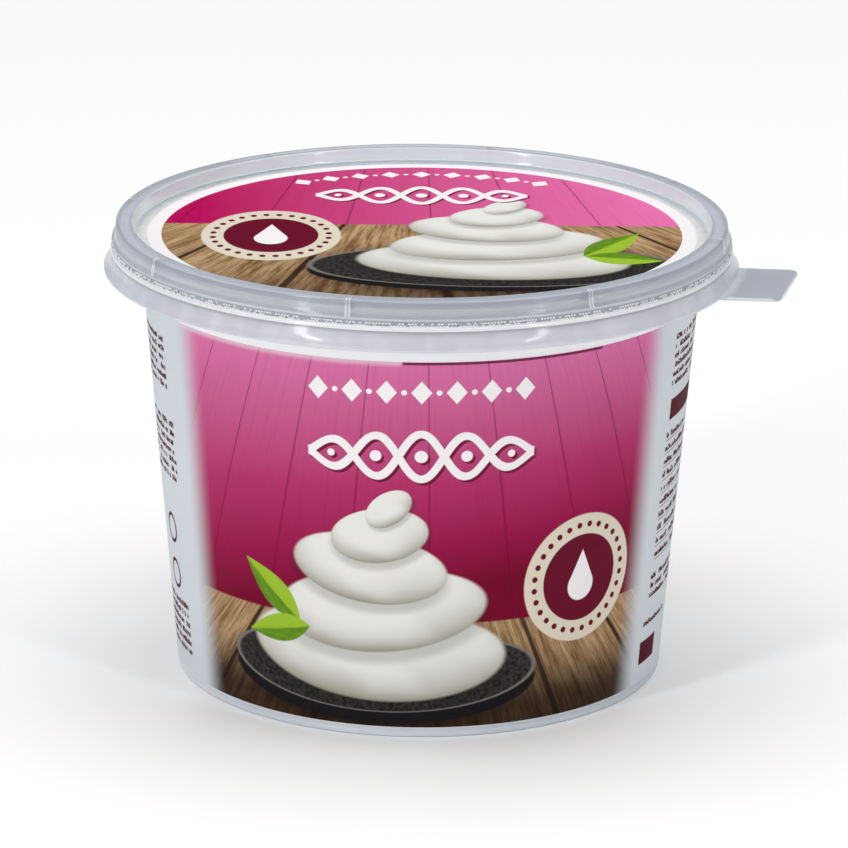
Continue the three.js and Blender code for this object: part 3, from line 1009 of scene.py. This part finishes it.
def copied_round(data, material, **sizes):
    """The mesh copied round the lid's axis in rows, by a tree whose inputs are Count, Rows, Drop
    from row to row, and Start, the angle of the first copy."""
    tree = bpy.data.node_groups.new("copied_round", "GeometryNodeTree")
    sockets = {"Geometry": "NodeSocketGeometry", "Count": "NodeSocketInt", "Rows": "NodeSocketInt",
               "Drop": "NodeSocketFloat", "Start": "NodeSocketFloat",
               "Material": "NodeSocketMaterial"}
    names = {name: tree.interface.new_socket(name, in_out="INPUT", socket_type=kind).identifier
             for name, kind in sockets.items()}
    tree.interface.new_socket("Geometry", in_out="OUTPUT", socket_type="NodeSocketGeometry")

    def node(kind, values=None, operation=None):
        made = tree.nodes.new(kind)
        if operation:
            made.operation = operation
        for key, value in (values or {}).items():
            if isinstance(value, bpy.types.NodeSocket):
                tree.links.new(value, made.inputs[key])
            else:
                made.inputs[key].default_value = value
        return made.outputs[0]

    def math_node(operation, a, b):
        return node("ShaderNodeMath", {0: a, 1: b}, operation)

    given = tree.nodes.new("NodeGroupInput").outputs
    total = math_node("MULTIPLY", given["Count"], given["Rows"])
    points = node("GeometryNodeMeshLine", {"Count": total, "Offset": (0, 0, 0)})
    index = node("GeometryNodeInputIndex")
    row = math_node("FLOOR", math_node("DIVIDE", index, given["Count"]), 0.0)
    pitch = math_node("DIVIDE", 2 * math.pi, given["Count"])
    steps = math_node("ADD", index, math_node("MULTIPLY", row, 0.5))
    turn = math_node("ADD", given["Start"], math_node("MULTIPLY", steps, pitch))
    fall = math_node("MULTIPLY", row, math_node("MULTIPLY", given["Drop"], -1.0))
    points = node("GeometryNodeSetPosition", {
        "Geometry": points, "Offset": node("ShaderNodeCombineXYZ", {2: fall})})
    copies = node("GeometryNodeInstanceOnPoints", {
        "Points": points, "Instance": given["Geometry"],
        "Rotation": node("ShaderNodeCombineXYZ", {2: turn})})
    real = node("GeometryNodeRealizeInstances", {"Geometry": copies})
    painted = node("GeometryNodeSetMaterial", {"Geometry": real, "Material": given["Material"]})
    tree.links.new(painted, tree.nodes.new("NodeGroupOutput").inputs["Geometry"])

    def add_tree(holder):
        modifier = holder.modifiers.new("copied_round", "NODES")
        modifier.node_group = tree
        for name, value in {**sizes, "Material": material}.items():
            modifier[names[name]] = value

    return modified(data, add_tree)


lid_material = lid_plastic("lid_plastic", 0.1)
# The knurls' plastic, with painted glints.
knurl_material = lid_plastic("lid_knurl_plastic", 0.04, glints=1.0)
lid_data = joined(turned_mesh("lid_shell", lid_profile()), tab_mesh())
lid = finished("lid_shell", lid_data, lid_material)
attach(lid, "root")
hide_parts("lid")

rib_data = copied_round(rib_mesh(), lid_material, Count=RIB_COUNT, Rows=1, Drop=0.0,
                        Start=TAB_ANGLE)
ribs = finished("lid_ribs", rib_data, lid_material)
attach(ribs, "root")

knurl_data = copied_round(knurl_mesh(), knurl_material, Count=KNURL_COUNT, Rows=KNURL_ROWS,
                          Drop=KNURL_PITCH, Start=0.0)
knurls = finished("lid_knurls", knurl_data, knurl_material, sharp_degrees=80)
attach(knurls, "root")

# The studio: a pale floor that runs on behind, a large soft light overhead, a strip at each side
# of the camera for the streaks on the lid's rim, a faint card at the right, and a plain surround.
FLOOR_SIZE = 8.0
FLOOR_COLOUR = (0.96, 0.96, 0.96, 1)
SURROUND_STRENGTH = 0.14


def floor_finish():
    paint = Paint("pale_floor")
    return paint.done(paint.surface(base_color=FLOOR_COLOUR, roughness=0.9, specular_ior_level=0.1))


floor_data = bpy.data.meshes.new("floor")
half_floor = FLOOR_SIZE / 2
floor_data.from_pydata(
    [(-half_floor, -half_floor, 0), (half_floor, -half_floor, 0),
     (half_floor, half_floor, 0), (-half_floor, half_floor, 0)], [], [(0, 1, 2, 3)])
floor_data.materials.append(floor_finish())
floor = bpy.data.objects.new("floor", floor_data)
bpy.context.scene.collection.objects.link(floor)


def soft_light(name, place, aim, width, height, power):
    """A rectangle of light at its place, turned towards its aim."""
    light = bpy.data.lights.new(name, "AREA")
    light.shape = "RECTANGLE"
    light.size = width
    light.size_y = height
    light.energy = power
    lamp = bpy.data.objects.new(name, light)
    lamp.location = place
    lamp.rotation_euler = (Vector(aim) - Vector(place)).to_track_quat("-Z", "Y").to_euler()
    bpy.context.scene.collection.objects.link(lamp)


tub_aim = (0, 0, 0.06)
soft_light("overhead", place=(0, 0.3, 2.0), aim=(0, 0.3, 0), width=3.0, height=2.4, power=50)
soft_light("strip_left", (-0.75, -0.8, 0.5), tub_aim, width=0.1, height=0.9, power=4.2)
soft_light("strip_right", (0.75, -0.8, 0.5), tub_aim, width=0.07, height=0.9, power=2.2)
soft_light("card_right", (1.5, 0.35, 0.5), tub_aim, width=1.3, height=0.9, power=1.0)

world = bpy.data.worlds.new("studio")
bpy.context.scene.world = world
world.use_nodes = True
surround = world.node_tree.nodes["Background"].inputs
surround["Color"].default_value = (1, 1, 1, 1)
surround["Strength"].default_value = SURROUND_STRENGTH
bpy.context.scene.view_settings.view_transform = "Standard"
